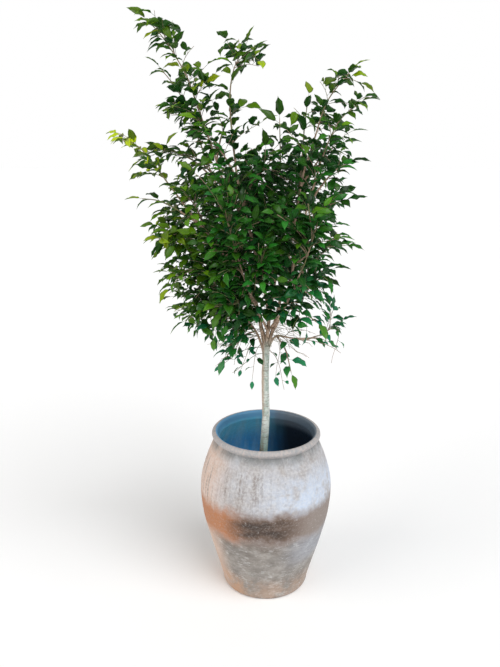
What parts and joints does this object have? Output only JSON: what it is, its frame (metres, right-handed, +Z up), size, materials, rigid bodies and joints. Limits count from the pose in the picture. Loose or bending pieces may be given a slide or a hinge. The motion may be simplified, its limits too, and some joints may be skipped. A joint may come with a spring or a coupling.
{
  "type": "potted weeping fig",
  "caption": "Weeping fig trained as a small tree, with a bare trunk and an open leafy crown, standing in soil in a tall bellied earthenware jar.",
  "frame": {"origin": "middle of the jar's flat base, on the surface that it stands on", "axes": "+Z up along the jar's axis; -Y towards the side that the picture shows; +X to the right as seen from that side"},
  "size_m": [0.8443, 0.678, 1.9794],
  "materials": {
    "earthenware": "unglazed and weathered: grey wash above, a wide rust-brown band at the belly, mottled beige below, blue-grey inside",
    "fig_bark": "smooth pale grey-brown bark with small corky spots",
    "fig_leaf": "waxy green leaf, darker inside the crown and yellow-green at the young tips",
    "potting_soil": "dark, matt and crumbly"
  },
  "bodies": {
    "root": {"branch_back_left_side_1": "fig_leaf", "branch_back_left_side_2": "fig_leaf", "branch_back_left_top": "fig_leaf", "branch_back_low_left_side_1": "fig_leaf", "branch_back_low_left_top": "fig_leaf", "branch_back_middle_side_1": "fig_leaf", "branch_back_middle_side_2": "fig_leaf", "branch_back_middle_top": "fig_leaf", "branch_back_right_side_1": "fig_leaf", "branch_back_right_side_2": "fig_leaf", "branch_back_right_top": "fig_leaf", "branch_centre_side_1": "fig_leaf", "branch_centre_side_2": "fig_leaf", "branch_centre_side_3": "fig_leaf", "branch_centre_side_4": "fig_leaf", "branch_centre_side_5": "fig_leaf", "branch_centre_side_6": "fig_leaf", "branch_centre_top": "fig_leaf", "branch_front_left_side_1": "fig_leaf", "branch_front_left_side_2": "fig_leaf", "branch_front_left_top": "fig_leaf", "branch_front_right_side_1": "fig_leaf", "branch_front_right_side_2": "fig_leaf", "branch_front_right_top": "fig_leaf", "branch_left_low_side_1": "fig_leaf", "branch_left_low_side_2": "fig_leaf", "branch_left_low_side_3": "fig_leaf", "branch_left_low_top": "fig_leaf", "branch_left_side_1": "fig_leaf", "branch_left_side_2": "fig_leaf", "branch_left_side_3": "fig_leaf", "branch_left_side_4": "fig_leaf", "branch_left_side_5": "fig_leaf", "branch_left_top": "fig_leaf", "branch_middle_side_1": "fig_leaf", "branch_middle_side_2": "fig_leaf", "branch_middle_top": "fig_leaf", "branch_right_front_side_1": "fig_leaf", "branch_right_front_side_2": "fig_leaf", "branch_right_front_side_3": "fig_leaf", "branch_right_front_side_4": "fig_leaf", "branch_right_front_top": "fig_leaf", "branch_right_low_side_1": "fig_leaf", "branch_right_low_side_2": "fig_leaf", "branch_right_low_top": "fig_leaf", "branch_tall_left_side_1": "fig_leaf", "branch_tall_left_side_2": "fig_leaf", "branch_tall_left_side_3": "fig_leaf", "branch_tall_left_side_4": "fig_leaf", "branch_tall_left_side_5": "fig_leaf", "branch_tall_left_top": "fig_leaf", "branch_tall_right_side_1": "fig_leaf", "branch_tall_right_side_2": "fig_leaf", "branch_tall_right_side_3": "fig_leaf", "branch_tall_right_side_4": "fig_leaf", "branch_tall_right_side_5": "fig_leaf", "branch_tall_right_top": "fig_leaf", "jar": "earthenware", "soil": "potting_soil", "trunk": "fig_bark"}
  },
  "joints": []
}
